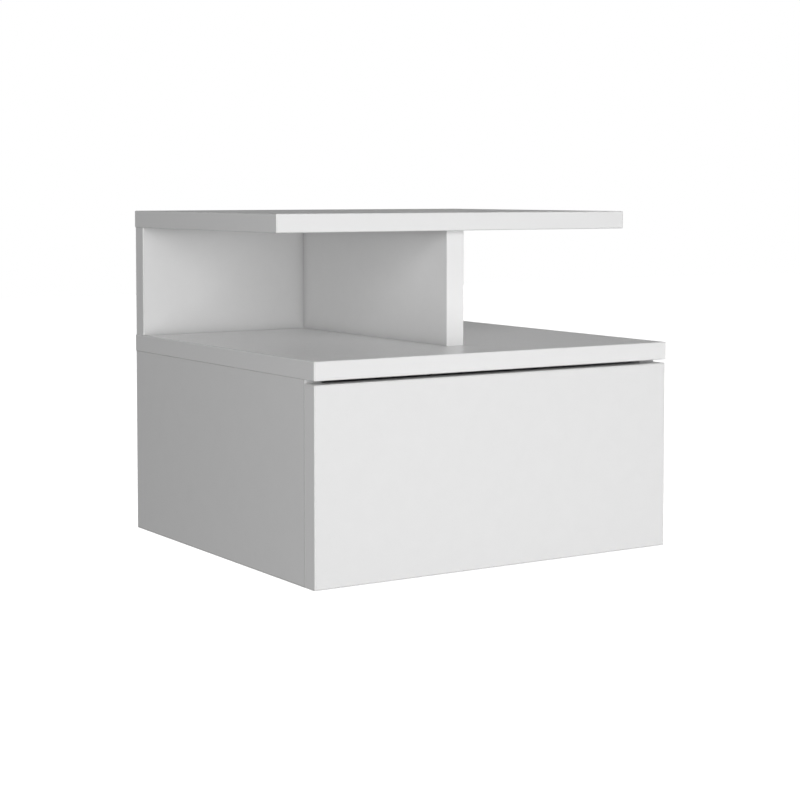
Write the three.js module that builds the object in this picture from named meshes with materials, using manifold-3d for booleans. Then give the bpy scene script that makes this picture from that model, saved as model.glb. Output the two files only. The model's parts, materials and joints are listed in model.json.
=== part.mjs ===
// Wall-hung nightstand in white laminated board: a cabinet with one drawer on
// roller runners, and over it an upper shelf carried by a back panel and a divider.
// Millimetres. X to the right, Y towards the wall, Z up. The origin is the middle
// of the wall rail's rear face, where the cabinet is fastened to the wall.

import * as THREE from 'three';
import { mergeVertices } from 'three/addons/utils/BufferGeometryUtils.js';
import Module from 'manifold-3d';

const wasm = await Module();
wasm.setup();

// Cabinet, shelf and boards
const cabinetWidth = 345;
const cabinetDepth = 320;
const cabinetHeight = 174.5;
const overallHeight = 285;
const boardThickness = 15;
const dividerThickness = 17;
const hardboardThickness = 3;
const shelfSetBack = 58;
const dividerSetBack = 65;
const topOverhang = 0.5;
const backPanelEndInset = 0.7;
const easedRadius = 1;

// Drawer front and the gaps round it
const drawerFaceSetBack = 0.5;
const gapOverDrawerFront = 3;
const closingGap = 0.4;
const fingerGripDepth = 22;

// Wall rail, its screw holes, and the grooves for the hardboard
const wallRailHeight = 60;
const wallScrewHoleRadius = 3.25;
const wallScrewHeadRadius = 6.5;
const wallScrewInset = 57;
const hardboardInset = 6;
const grooveDepth = 6;

// Drawer box
const spaceOverDrawer = 27;
const drawerBottomLift = 10;
const drawerBackDrop = 8;
const drawerRearOverrun = 3.5;

// Roller runners, bent from sheet steel
const sheetThickness = 1.25;
const runnerSpace = 12.5;
const runnerLift = 5;
const drawerLift = 2;
const runnerFrontInset = 2;
const drawerRunnerFrontInset = 1.5;
const spaceBehindRunner = 52.5;
const flangeWidth = 10;
const supportFlangeWidth = 12;
const stopLugDepth = 3.3;
const travelShare = 0.76;

// Rollers and their rivets
const rollerRadius = 8.5;
const rollerWidth = 6;
const rollerChamfer = 0.5;
const rollerRise = 0.6;
const rollerWebGap = 1.55;
const frontRollerInset = 14;
const rearRollerInset = 12;
const rivetRadius = 2;
const rivetCollarRadius = 4;
const rivetHeadRadius = 3.7;
const rivetHeadThickness = 1;

// Cam locks and their bolts
const camRadius = 7.2;
const camBoreDepth = 12.5;
const camSetback = 24;
const camSlotLength = 9;
const camSlotWidth = 1.6;
const camSlotDepth = 1.8;
const boltHeadRadius = 3.2;
const boltNeckRadius = 2.2;
const boltCollarRadius = 3.4;
const boltCollarThickness = 1;
const boltThreadRadius = 2.5;
const boltThreadLength = 10.5;
const boltBoreRadius = 4;

// Cabinet screws, driven up through the cabinet top
const cabinetScrewHeadRadius = 5;
const cabinetScrewHeadHeight = 2.5;
const cabinetScrewNeckRadius = 3.2;
const cabinetScrewThreadRadius = 2.5;
const cabinetScrewReachShare = 0.54;
const cabinetScrewNeckShare = 0.14;
const screwTipLength = 3;

// Runner screws
const runnerScrewLength = 12;
const runnerScrewHeadRadius = 4;
const runnerScrewHeadHeight = 1;
const runnerScrewRadius = 2.6;
const runnerScrewFrontInset = 37;
const runnerScrewRearInset = 22.6;
const recessLengthShare = 1.1;
const recessWidthShare = 0.24;
const recessDepthShare = 0.6;

// Places of the fittings
const frontFittingInset = 37;
const rearFittingInset = 60;
const dividerFittingInset = 40;
const backPanelScrewInset = 42;
const drawerCamHeight = 95;

// Clearance between pieces that fit into each other, and the overrun of a cut
const fitClearance = 0.3;
const cutOverrun = 2;
const weldDistance = 0.0005;

// Facets of round shapes
const camSides = 20;
const rollerSides = 24;
const boreSides = 12;
const screwSides = 10;
const arcSegments = 3;

// Directions
const right = new THREE.Vector3(1, 0, 0);
const left = new THREE.Vector3(-1, 0, 0);
const back = new THREE.Vector3(0, 1, 0);
const front = new THREE.Vector3(0, -1, 0);
const up = new THREE.Vector3(0, 0, 1);
const down = new THREE.Vector3(0, 0, -1);
const sides = [['left', left], ['right', right]];

// Heights over the lower edge of the side panels
const topUnderside = cabinetHeight - boardThickness;
const shelfUnderside = overallHeight - boardThickness;
const railUnderside = topUnderside - wallRailHeight;
const railCentre = topUnderside - wallRailHeight / 2;
const drawerFrontTop = topUnderside - gapOverDrawerFront;
const runnerUnderside = boardThickness + runnerLift;
const runnerFloor = runnerUnderside + sheetThickness;
const rearRollerHeight = runnerFloor + fitClearance + rollerRadius;
const runnerCeiling = rearRollerHeight + rollerRadius + fitClearance;
const frontRollerHeight = runnerCeiling + sheetThickness + rollerRise - rollerRadius;
const drawerFlangeUnderside = frontRollerHeight + rollerRadius + fitClearance;
const drawerFlangeTop = drawerFlangeUnderside + sheetThickness;
const drawerSideUnderside = runnerUnderside + drawerLift;
const drawerSideTop = topUnderside - spaceOverDrawer;
const drawerBottomUnderside = drawerSideUnderside + drawerBottomLift;
const drawerBottomTop = drawerBottomUnderside + hardboardThickness;

// How far the cabinet screws reach over the cabinet top, in the space under the cam locks
const spaceUnderCams = shelfUnderside - camSetback - camRadius - cabinetHeight;
const cabinetScrewReach = cabinetScrewReachShare * spaceUnderCams;
const cabinetScrewNeckReach = cabinetScrewNeckShare * cabinetScrewReach;

// Distances from the middle to the side
const sideOuter = cabinetWidth / 2 - topOverhang;
const sideInner = sideOuter - boardThickness;
const drawerOuter = sideInner - runnerSpace;
const drawerInner = drawerOuter - boardThickness;
const dividerHalf = dividerThickness / 2;
const runnerWeb = sideInner - sheetThickness;
const flangeEdge = sideInner - flangeWidth;
const rollerOuter = runnerWeb - rollerWebGap;
const rollerInner = rollerOuter - rollerWidth;
const drawerWeb = drawerOuter + sheetThickness;

// Distances from the wall, which count negative towards the front
const drawerFaceFront = -(cabinetDepth - drawerFaceSetBack);
const drawerFaceRear = drawerFaceFront + boardThickness;
const sideFront = drawerFaceRear + closingGap;
const bottomFront = drawerFaceRear + fingerGripDepth;
const shelfFront = -(cabinetDepth - shelfSetBack);
const dividerFront = -(cabinetDepth - dividerSetBack);
const hardboardRear = -hardboardInset;
const hardboardFront = hardboardRear - hardboardThickness;
const runnerFront = sideFront + runnerFrontInset;
const runnerRear = -spaceBehindRunner;
const drawerRunnerFront = drawerFaceRear + drawerRunnerFrontInset;
const drawerRunnerRear = runnerRear - closingGap;
const drawerRear = runnerRear + drawerRearOverrun;
const frontRollerPlace = runnerFront + frontRollerInset;
const rearRollerPlace = drawerRunnerRear - rearRollerInset;
const drawerTravel = travelShare * (runnerRear - runnerFront);

const point = (x, y, z) => new THREE.Vector3(x, y, z);

// A closed geometry as a solid that can be cut and joined
function solidOf(geometry) {
  geometry.deleteAttribute('normal');
  geometry.deleteAttribute('uv');
  const merged = mergeVertices(geometry, weldDistance);
  return new wasm.Manifold(new wasm.Mesh({
    numProp: 3,
    vertProperties: merged.attributes.position.array,
    triVerts: Uint32Array.from(merged.index.array),
  }));
}

// A block between two opposite corners, given in any order
function block(cornerA, cornerB) {
  const low = cornerA.clone().min(cornerB);
  const high = cornerA.clone().max(cornerB);
  const geometry = new THREE.BoxGeometry();
  const corners = geometry.attributes.position;
  for (let i = 0; i < corners.count; i++) {
    corners.setXYZ(
      i,
      corners.getX(i) > 0 ? high.x : low.x,
      corners.getY(i) > 0 ? high.y : low.y,
      corners.getZ(i) > 0 ? high.z : low.z,
    );
  }
  return solidOf(geometry);
}

// The matrix that turns a piece's own z axis to one direction and its x axis to another
function standing(origin, zAxis, xAxis) {
  const yAxis = new THREE.Vector3().crossVectors(zAxis, xAxis);
  return new THREE.Matrix4().makeBasis(xAxis, yAxis, zAxis).setPosition(origin);
}

// Any direction that is square to the one given
const squareTo = (direction) => point(direction.y, direction.z, direction.x);

// A turned shape about its own z axis, from points of radius and height
function turned(profile, facets) {
  const points = profile.map(([radius, height]) => new THREE.Vector2(radius, height));
  return new THREE.LatheGeometry(points, facets).rotateX(Math.PI / 2);
}

// A bore or countersink: it starts a little outside the face and ends at the depth
function bore(start, direction, depth, radius, mouthRadius = radius, facets = boreSides) {
  const profile = [
    [0, -cutOverrun],
    [mouthRadius, -cutOverrun],
    [mouthRadius, 0],
    [radius, depth],
    [0, depth],
  ];
  const geometry = turned(profile, facets);
  return solidOf(geometry.applyMatrix4(standing(start, direction, squareTo(direction))));
}

// What is taken off one arris of a block to round it, between the faces of two normals
function arrisCutter(low, high, faceA, faceB) {
  const along = new THREE.Vector3().crossVectors(faceA, faceB);
  const size = high.clone().sub(low);
  const middle = low.clone().add(high).multiplyScalar(1 / 2);
  const outward = faceA.clone().add(faceB);
  const arris = middle.add(outward.multiply(size).multiplyScalar(1 / 2));
  const run = Math.abs(size.dot(along)) + 2 * cutOverrun;
  const outline = new THREE.Shape();
  outline.moveTo(-easedRadius, cutOverrun);
  outline.lineTo(-easedRadius, 0);
  outline.absarc(-easedRadius, -easedRadius, easedRadius, Math.PI / 2, 0, true);
  outline.lineTo(cutOverrun, -easedRadius);
  outline.lineTo(cutOverrun, cutOverrun);
  const geometry = new THREE.ExtrudeGeometry(outline, {
    depth: run,
    bevelEnabled: false,
    curveSegments: arcSegments,
  });
  geometry.translate(0, 0, -run / 2);
  return solidOf(geometry.applyMatrix4(standing(arris, along, faceA)));
}

// Cuts that the fittings and grooves make, listed by the piece that they cut
const cutsOf = {};
function cut(piece, cutter) {
  cutsOf[piece] ??= [];
  cutsOf[piece].push(cutter);
}

function geometryOf(solid) {
  const { vertProperties, triVerts } = solid.getMesh();
  const geometry = new THREE.BufferGeometry();
  geometry.setAttribute('position', new THREE.BufferAttribute(vertProperties, 3));
  geometry.setIndex(new THREE.BufferAttribute(triVerts, 1));
  const flat = geometry.toNonIndexed();
  flat.computeVertexNormals();
  return flat;
}

// Finishes
const finish = (color, roughness, metalness = 0) =>
  new THREE.MeshStandardMaterial({ color, roughness, metalness });
const melamine = finish(0xf0f0ef, 0.5);
const hardboard = finish(0xe6e4df, 0.6);
const coatedSteel = finish(0xe9e9e6, 0.4);
const nylon = finish(0xdcdcd8, 0.45);
const zincPlated = finish(0xb9bcc0, 0.35, 1);
const dieCastZinc = finish(0xa7a9ab, 0.45, 1);

const nightstand = new THREE.Group();
const cabinet = new THREE.Group();
const drawer = new THREE.Group();
nightstand.add(cabinet);
cabinet.position.z = -railCentre;
cabinet.add(drawer);

function addPiece(group, name, geometry, material) {
  const mesh = new THREE.Mesh(geometry, material);
  mesh.name = name;
  group.add(mesh);
  return mesh;
}

// A piece that stands on a point, with its own z and x axes turned to two directions
function addStanding(group, name, geometry, material, origin, zAxis, xAxis) {
  const mesh = addPiece(group, name, geometry, material);
  standing(origin, zAxis, xAxis).decompose(mesh.position, mesh.quaternion, mesh.scale);
}

// A board between two corners, with its eased arrises and everything that cuts it
function addBoard(group, name, cornerA, cornerB, eased, material = melamine) {
  const low = cornerA.clone().min(cornerB);
  const high = cornerA.clone().max(cornerB);
  const arrises = eased.map(([faceA, faceB]) => arrisCutter(low, high, faceA, faceB));
  const cuts = arrises.concat(cutsOf[name] ?? []);
  const solid = cuts.reduce((whole, cutter) => whole.subtract(cutter), block(low, high));
  addPiece(group, name, geometryOf(solid), material);
}

// Cross recess between two heights, for a screwdriver
function crossRecess(length, width, floor, mouth) {
  const bar = (alongX, alongY) => block(
    point(-alongX / 2, -alongY / 2, floor),
    point(alongX / 2, alongY / 2, mouth),
  );
  return bar(length, width).add(bar(width, length));
}

// Cam lock: a zinc drum with a side channel for the bolt's head and a cross on top.
// Its own z axis points out of the board's face, and its x axis towards the bolt.
const camHeight = camBoreDepth - fitClearance;
const boltLine = camBoreDepth - boardThickness / 2;
const channelHalf = boltHeadRadius + fitClearance;
function camShape() {
  const drum = solidOf(turned([[0, 0], [camRadius, 0], [camRadius, camHeight], [0, camHeight]], camSides));
  const channel = block(
    point(-channelHalf, -channelHalf, boltLine - channelHalf),
    point(camRadius + cutOverrun, channelHalf, boltLine + channelHalf),
  );
  const cross = crossRecess(camSlotLength, camSlotWidth, camHeight - camSlotDepth, camHeight + cutOverrun);
  return geometryOf(drum.subtract(channel).subtract(cross));
}

// Cam bolt: a thread in one board, a collar on its face, and a head in the cam.
// Its own z axis runs from the face that it is screwed into to the cam.
function boltShape() {
  return turned([
    [0, -boltThreadLength],
    [boltThreadRadius, -boltThreadLength],
    [boltThreadRadius, 0],
    [boltCollarRadius, 0],
    [boltCollarRadius, boltCollarThickness],
    [boltNeckRadius, boltCollarThickness],
    [boltNeckRadius, camSetback - boltHeadRadius],
    [boltHeadRadius, camSetback - boltHeadRadius],
    [boltHeadRadius, camSetback + boltHeadRadius],
    [0, camSetback + boltHeadRadius],
  ], screwSides);
}

const camGeometry = camShape();
const boltGeometry = boltShape();

// One cam joint. The joint lies on the face that takes the bolt's thread, "into" points
// from there into the board with the cam, and "camFace" is the normal of the cam's face.
function addCamJoint(group, camName, boltName, joint, into, camFace, camBoard, boltBoard) {
  const faceCentre = joint.clone().addScaledVector(into, camSetback);
  faceCentre.addScaledVector(camFace, boardThickness / 2);
  const floor = faceCentre.clone().addScaledVector(camFace, -camBoreDepth);
  const inward = camFace.clone().negate();
  const towardsBolt = into.clone().negate();
  cut(camBoard, bore(faceCentre, inward, camBoreDepth, camRadius + fitClearance, undefined, camSides));
  cut(camBoard, bore(joint, into, camSetback, boltBoreRadius));
  const pilotDepth = boltThreadLength + fitClearance;
  cut(boltBoard, bore(joint, towardsBolt, pilotDepth, boltThreadRadius + fitClearance));
  addStanding(group, camName, camGeometry, dieCastZinc, floor, camFace, towardsBolt);
  addStanding(group, boltName, boltGeometry, zincPlated, joint, into, camFace);
}

// Cam joints between the side panels, the cabinet top, the bottom panel and the wall rail
for (const [side, outward] of sides) {
  const inward = outward.clone().negate();
  const sidePanel = side + '_side_panel';
  const sideMiddle = outward.x * (sideInner + boardThickness / 2);
  const places = [['front', sideFront + frontFittingInset], ['rear', -rearFittingInset]];
  for (const [end, place] of places) {
    addCamJoint(
      cabinet, `side_cam_${side}_${end}`, `side_cam_bolt_${side}_${end}`,
      point(sideMiddle, place, topUnderside), down, inward, sidePanel, 'cabinet_top',
    );
  }
  addCamJoint(
    cabinet, 'bottom_cam_' + side, 'bottom_cam_bolt_' + side,
    point(outward.x * sideInner, bottomFront / 2, boardThickness / 2),
    inward, up, 'bottom_panel', sidePanel,
  );
  addCamJoint(
    cabinet, 'rail_cam_' + side, 'rail_cam_bolt_' + side,
    point(outward.x * sideInner, -boardThickness / 2, railCentre),
    inward, front, 'wall_rail', sidePanel,
  );
}

// Cam joints that hang the upper shelf on the divider and the upper back panel
const dividerBoltLine = dividerHalf - boardThickness / 2;
const dividerPlaces = [['front', dividerFront + dividerFittingInset], ['rear', -rearFittingInset]];
for (const [end, place] of dividerPlaces) {
  addCamJoint(
    cabinet, 'divider_cam_' + end, 'divider_cam_bolt_' + end,
    point(dividerBoltLine, place, shelfUnderside), down, right, 'shelf_divider', 'top_shelf',
  );
}
const backPanelEnd = -(cabinetWidth / 2 - backPanelEndInset);
const backPanelMiddle = (backPanelEnd - dividerHalf) / 2;
addCamJoint(
  cabinet, 'back_panel_cam', 'back_panel_cam_bolt',
  point(backPanelMiddle, -boardThickness / 2, shelfUnderside),
  down, back, 'upper_back_panel', 'top_shelf',
);

// Cam joints between the drawer front and the drawer sides
for (const [side, outward] of sides) {
  const sideMiddle = outward.x * (drawerInner + boardThickness / 2);
  addCamJoint(
    drawer, 'drawer_front_cam_' + side, 'drawer_front_cam_bolt_' + side,
    point(sideMiddle, drawerFaceRear, drawerCamHeight),
    back, outward, `drawer_${side}_side`, 'drawer_front',
  );
}

// A screw with a flat head. Its own z axis runs from the head's outer face to the tip.
function screwShape(headRadius, headHeight, necks) {
  const profile = [[0, 0], [headRadius, 0], [headRadius, headHeight]];
  let reach = headHeight;
  let radius = headRadius;
  for (const [neckRadius, neckReach] of necks) {
    profile.push([neckRadius, reach]);
    profile.push([neckRadius, neckReach]);
    reach = neckReach;
    radius = neckRadius;
  }
  profile.push([radius / 2, reach + screwTipLength / 2]);
  profile.push([0, reach + screwTipLength / 2]);
  const recess = crossRecess(
    headRadius * recessLengthShare,
    headRadius * recessWidthShare,
    -cutOverrun,
    headHeight * recessDepthShare,
  );
  return geometryOf(solidOf(turned(profile, screwSides)).subtract(recess));
}

// Cabinet screws from inside the cabinet up into the divider and the upper back panel
const cabinetScrewGeometry = screwShape(cabinetScrewHeadRadius, cabinetScrewHeadHeight, [
  [cabinetScrewNeckRadius, boardThickness + cabinetScrewNeckReach],
  [cabinetScrewThreadRadius, boardThickness + cabinetScrewReach - screwTipLength],
]);
function addCabinetScrew(name, x, y, board) {
  const mouth = point(x, y, topUnderside);
  const joint = point(x, y, cabinetHeight);
  const head = point(x, y, topUnderside + fitClearance);
  const headBore = cabinetScrewHeadHeight + fitClearance;
  const neckBore = cabinetScrewNeckReach + 2 * fitClearance;
  const neckHole = cabinetScrewNeckRadius + fitClearance;
  cut('cabinet_top', bore(mouth, up, headBore, cabinetScrewHeadRadius + fitClearance));
  cut('cabinet_top', bore(mouth, up, boardThickness + cutOverrun, neckHole));
  cut(board, bore(joint, up, neckBore, neckHole));
  cut(board, bore(joint, up, cabinetScrewReach, cabinetScrewThreadRadius + fitClearance));
  addStanding(cabinet, name, cabinetScrewGeometry, zincPlated, head, up, right);
}
for (const [end, place] of dividerPlaces) {
  addCabinetScrew('divider_screw_' + end, 0, place, 'shelf_divider');
}
addCabinetScrew(
  'back_panel_screw_left', backPanelEnd + backPanelScrewInset, -boardThickness / 2, 'upper_back_panel',
);
addCabinetScrew(
  'back_panel_screw_right', -dividerHalf - backPanelScrewInset, -boardThickness / 2, 'upper_back_panel',
);

// Screw holes of the wall rail, countersunk from inside the cabinet
for (const [, outward] of sides) {
  const mouth = point(outward.x * (sideInner - wallScrewInset), -boardThickness, railCentre);
  const coneDepth = wallScrewHeadRadius - wallScrewHoleRadius;
  cut('wall_rail', bore(mouth, back, coneDepth, wallScrewHoleRadius, wallScrewHeadRadius, camSides));
  cut('wall_rail', bore(mouth, back, boardThickness + cutOverrun, wallScrewHoleRadius, undefined, camSides));
}

// Grooves for the hardboard back, which also run through the ends of the boards
const grooveFront = hardboardFront - fitClearance;
const grooveRear = hardboardRear + fitClearance;
for (const [side, outward] of sides) {
  cut(side + '_side_panel', block(
    point(outward.x * (sideInner - cutOverrun), grooveFront, -cutOverrun),
    point(outward.x * (sideInner + grooveDepth), grooveRear, topUnderside + cutOverrun),
  ));
}
cut('bottom_panel', block(
  point(-sideInner - cutOverrun, grooveFront, boardThickness - grooveDepth),
  point(sideInner + cutOverrun, grooveRear, boardThickness + cutOverrun),
));
cut('wall_rail', block(
  point(-sideInner - cutOverrun, grooveFront, railUnderside - cutOverrun),
  point(sideInner + cutOverrun, grooveRear, railUnderside + grooveDepth),
));

// Grooves for the drawer bottom
for (const [side, outward] of sides) {
  cut(`drawer_${side}_side`, block(
    point(outward.x * (drawerInner - cutOverrun), drawerFaceRear - cutOverrun, drawerBottomUnderside),
    point(outward.x * (drawerInner + grooveDepth), drawerRear + cutOverrun, drawerBottomTop + fitClearance),
  ));
}
cut('drawer_front', block(
  point(-drawerInner - grooveDepth, drawerFaceRear - grooveDepth, drawerBottomUnderside),
  point(drawerInner + grooveDepth, drawerFaceRear + cutOverrun, drawerBottomTop + fitClearance),
));

// A shape drawn across the runner, as x and z, and carried from one y to another
function alongRunner(corners, rear, foremost) {
  const outline = new THREE.Shape(corners.map(([x, z]) => new THREE.Vector2(x, z)));
  const geometry = new THREE.ExtrudeGeometry(outline, { depth: rear - foremost, bevelEnabled: false });
  return solidOf(geometry.rotateX(Math.PI / 2).translate(0, rear, 0));
}

// Roller with a bore for its rivet, and a seat for the rivet's head at its far end
const headSeatDepth = rivetHeadThickness + 2 * fitClearance;
const rollerGeometry = turned([
  [rivetRadius + fitClearance, 0],
  [rollerRadius - rollerChamfer, 0],
  [rollerRadius, rollerChamfer],
  [rollerRadius, rollerWidth - rollerChamfer],
  [rollerRadius - rollerChamfer, rollerWidth],
  [rivetHeadRadius + fitClearance, rollerWidth],
  [rivetHeadRadius + fitClearance, rollerWidth - headSeatDepth],
  [rivetRadius + fitClearance, rollerWidth - headSeatDepth],
  [rivetRadius + fitClearance, 0],
], rollerSides);

// Rivet through a runner's web: tail, collar, shaft and a head inside the roller.
// Its own z axis starts at the web's far face and runs to the head.
function rivetShape(collarLength) {
  const rollerStart = sheetThickness + collarLength;
  const headStart = rollerStart + fitClearance + rollerWidth - headSeatDepth + fitClearance;
  return turned([
    [0, 0],
    [rivetRadius, 0],
    [rivetRadius, sheetThickness],
    [rivetCollarRadius, sheetThickness],
    [rivetCollarRadius, rollerStart],
    [rivetRadius, rollerStart],
    [rivetRadius, headStart],
    [rivetHeadRadius, headStart],
    [rivetHeadRadius, headStart + rivetHeadThickness],
    [0, headStart + rivetHeadThickness],
  ], screwSides);
}
const cabinetRivetGeometry = rivetShape(runnerWeb - rollerOuter - fitClearance);
const drawerRivetGeometry = rivetShape(rollerInner - drawerWeb - fitClearance);
const rivetHole = rivetRadius + fitClearance;
const runnerScrewGeometry = screwShape(runnerScrewHeadRadius, runnerScrewHeadHeight, [
  [runnerScrewRadius, runnerScrewLength - screwTipLength],
]);
const runnerScrewHole = runnerScrewRadius + fitClearance;
const stopReach = stopLugDepth - fitClearance;
const stopContact = Math.sqrt(rollerRadius ** 2 - (rollerRadius - stopReach) ** 2);
const stopRear = rearRollerPlace - drawerTravel - stopContact - fitClearance;

// Cabinet side of a runner: a channel that the drawer's roller runs in, with its own
// roller at the front and a lug that stops the drawer
for (const [side, outward] of sides) {
  const inward = outward.clone().negate();
  const x = (distance) => outward.x * distance;
  const channel = alongRunner([
    [x(sideInner), runnerUnderside],
    [x(flangeEdge), runnerUnderside],
    [x(flangeEdge), runnerFloor],
    [x(runnerWeb), runnerFloor],
    [x(runnerWeb), runnerCeiling],
    [x(flangeEdge), runnerCeiling],
    [x(flangeEdge), runnerCeiling + sheetThickness],
    [x(sideInner), runnerCeiling + sheetThickness],
  ], runnerRear, runnerFront);
  const rollerNotch = block(
    point(x(flangeEdge - cutOverrun), runnerFront - cutOverrun, runnerCeiling - fitClearance),
    point(x(runnerWeb), frontRollerPlace + rollerRadius + sheetThickness, drawerFlangeTop),
  );
  const stopLug = block(
    point(x(flangeEdge), stopRear, runnerCeiling - stopLugDepth),
    point(x(runnerWeb), stopRear - sheetThickness, runnerCeiling + sheetThickness),
  );
  const rivetPlace = point(x(sideInner), frontRollerPlace, frontRollerHeight);
  let runner = channel.subtract(rollerNotch).add(stopLug);
  runner = runner.subtract(bore(rivetPlace, inward, sheetThickness + cutOverrun, rivetHole));
  const frontScrewPlace = sideFront + runnerScrewFrontInset;
  const rearScrewPlace = runnerRear - runnerScrewRearInset;
  for (const [end, place] of [['front', frontScrewPlace], ['rear', rearScrewPlace]]) {
    const seat = point(x(runnerWeb), place, rearRollerHeight);
    const head = seat.clone().addScaledVector(inward, runnerScrewHeadHeight);
    runner = runner.subtract(bore(seat, outward, sheetThickness + cutOverrun, runnerScrewHole));
    cut(side + '_side_panel', bore(seat, outward, runnerScrewLength, runnerScrewHole));
    addStanding(
      cabinet, `runner_screw_${side}_${end}`, runnerScrewGeometry, zincPlated, head, outward, up,
    );
  }
  addPiece(cabinet, 'cabinet_runner_' + side, geometryOf(runner), coatedSteel);
  addStanding(
    cabinet, 'cabinet_roller_' + side, rollerGeometry, nylon,
    point(x(rollerOuter), frontRollerPlace, frontRollerHeight), inward, up,
  );
  addStanding(
    cabinet, 'cabinet_roller_rivet_' + side, cabinetRivetGeometry, zincPlated, rivetPlace, inward, up,
  );
}

// Drawer side of a runner: a flange under the drawer side, a web, and a flange that
// rides on the cabinet's roller, with its own roller at the rear
for (const [side, outward] of sides) {
  const x = (distance) => outward.x * distance;
  const profile = alongRunner([
    [x(drawerOuter - supportFlangeWidth), drawerSideUnderside],
    [x(drawerOuter - supportFlangeWidth), drawerSideUnderside - sheetThickness],
    [x(drawerWeb), drawerSideUnderside - sheetThickness],
    [x(drawerWeb), drawerFlangeUnderside],
    [x(rollerOuter), drawerFlangeUnderside],
    [x(rollerOuter), drawerFlangeTop],
    [x(drawerOuter), drawerFlangeTop],
    [x(drawerOuter), drawerSideUnderside],
  ], drawerRunnerRear, drawerRunnerFront);
  const rivetPlace = point(x(drawerOuter), rearRollerPlace, rearRollerHeight);
  const runner = profile.subtract(bore(rivetPlace, outward, sheetThickness + cutOverrun, rivetHole));
  addPiece(drawer, 'drawer_runner_' + side, geometryOf(runner), coatedSteel);
  addStanding(
    drawer, 'drawer_roller_' + side, rollerGeometry, nylon,
    point(x(rollerInner), rearRollerPlace, rearRollerHeight), outward, up,
  );
  addStanding(
    drawer, 'drawer_roller_rivet_' + side, drawerRivetGeometry, zincPlated, rivetPlace, outward, up,
  );
}

// Cabinet boards
const wideBoardArrises = [
  [front, up], [front, down], [left, up], [left, down],
  [right, up], [right, down], [left, front], [right, front],
];
addBoard(
  cabinet, 'cabinet_top',
  point(-cabinetWidth / 2, -cabinetDepth, topUnderside),
  point(cabinetWidth / 2, 0, cabinetHeight),
  wideBoardArrises,
);
for (const [side, outward] of sides) {
  addBoard(
    cabinet, side + '_side_panel',
    point(outward.x * sideInner, sideFront, 0),
    point(outward.x * sideOuter, 0, topUnderside),
    [],
  );
}
addBoard(
  cabinet, 'bottom_panel',
  point(-sideInner, bottomFront, 0),
  point(sideInner, 0, boardThickness),
  [[front, up], [front, down]],
);
addBoard(
  cabinet, 'wall_rail',
  point(-sideInner, -boardThickness, railUnderside),
  point(sideInner, 0, topUnderside),
  [],
);
addBoard(
  cabinet, 'cabinet_back',
  point(-sideInner - grooveDepth + fitClearance, hardboardFront, boardThickness - grooveDepth),
  point(sideInner + grooveDepth - fitClearance, hardboardRear, railUnderside + grooveDepth - fitClearance),
  [], hardboard,
);

// Upper shelf and what carries it
addBoard(
  cabinet, 'upper_back_panel',
  point(backPanelEnd, -boardThickness, cabinetHeight),
  point(-dividerHalf, 0, shelfUnderside),
  [[left, front]],
);
addBoard(
  cabinet, 'shelf_divider',
  point(-dividerHalf, dividerFront, cabinetHeight),
  point(dividerHalf, 0, shelfUnderside),
  [[left, front], [right, front]],
);
addBoard(
  cabinet, 'top_shelf',
  point(-cabinetWidth / 2, shelfFront, shelfUnderside),
  point(cabinetWidth / 2, 0, overallHeight),
  wideBoardArrises,
);

// Drawer boards
addBoard(
  drawer, 'drawer_front',
  point(-sideOuter, drawerFaceFront, 0),
  point(sideOuter, drawerFaceRear, drawerFrontTop),
  [[front, up], [front, down], [left, front], [right, front]],
);
for (const [side, outward] of sides) {
  addBoard(
    drawer, `drawer_${side}_side`,
    point(outward.x * drawerInner, drawerFaceRear, drawerSideUnderside),
    point(outward.x * drawerOuter, drawerRear, drawerSideTop),
    [[left, up], [right, up]],
  );
}
addBoard(
  drawer, 'drawer_back',
  point(-drawerInner, drawerRear - boardThickness, drawerBottomTop),
  point(drawerInner, drawerRear, drawerSideTop - drawerBackDrop),
  [[front, up], [back, up]],
);
addBoard(
  drawer, 'drawer_bottom',
  point(
    -drawerInner - grooveDepth + fitClearance,
    drawerFaceRear - grooveDepth + fitClearance,
    drawerBottomUnderside,
  ),
  point(drawerInner + grooveDepth - fitClearance, drawerRear, drawerBottomTop),
  [], hardboard,
);

export default nightstand;
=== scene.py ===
# Dresses the floating nightstand: finishes for board, steel, nylon and zinc, finer fittings and
# runners, the small screws that the solids leave out, a pale floor, soft light and the camera
# of the photograph.
import json
from math import pi, radians

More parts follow.
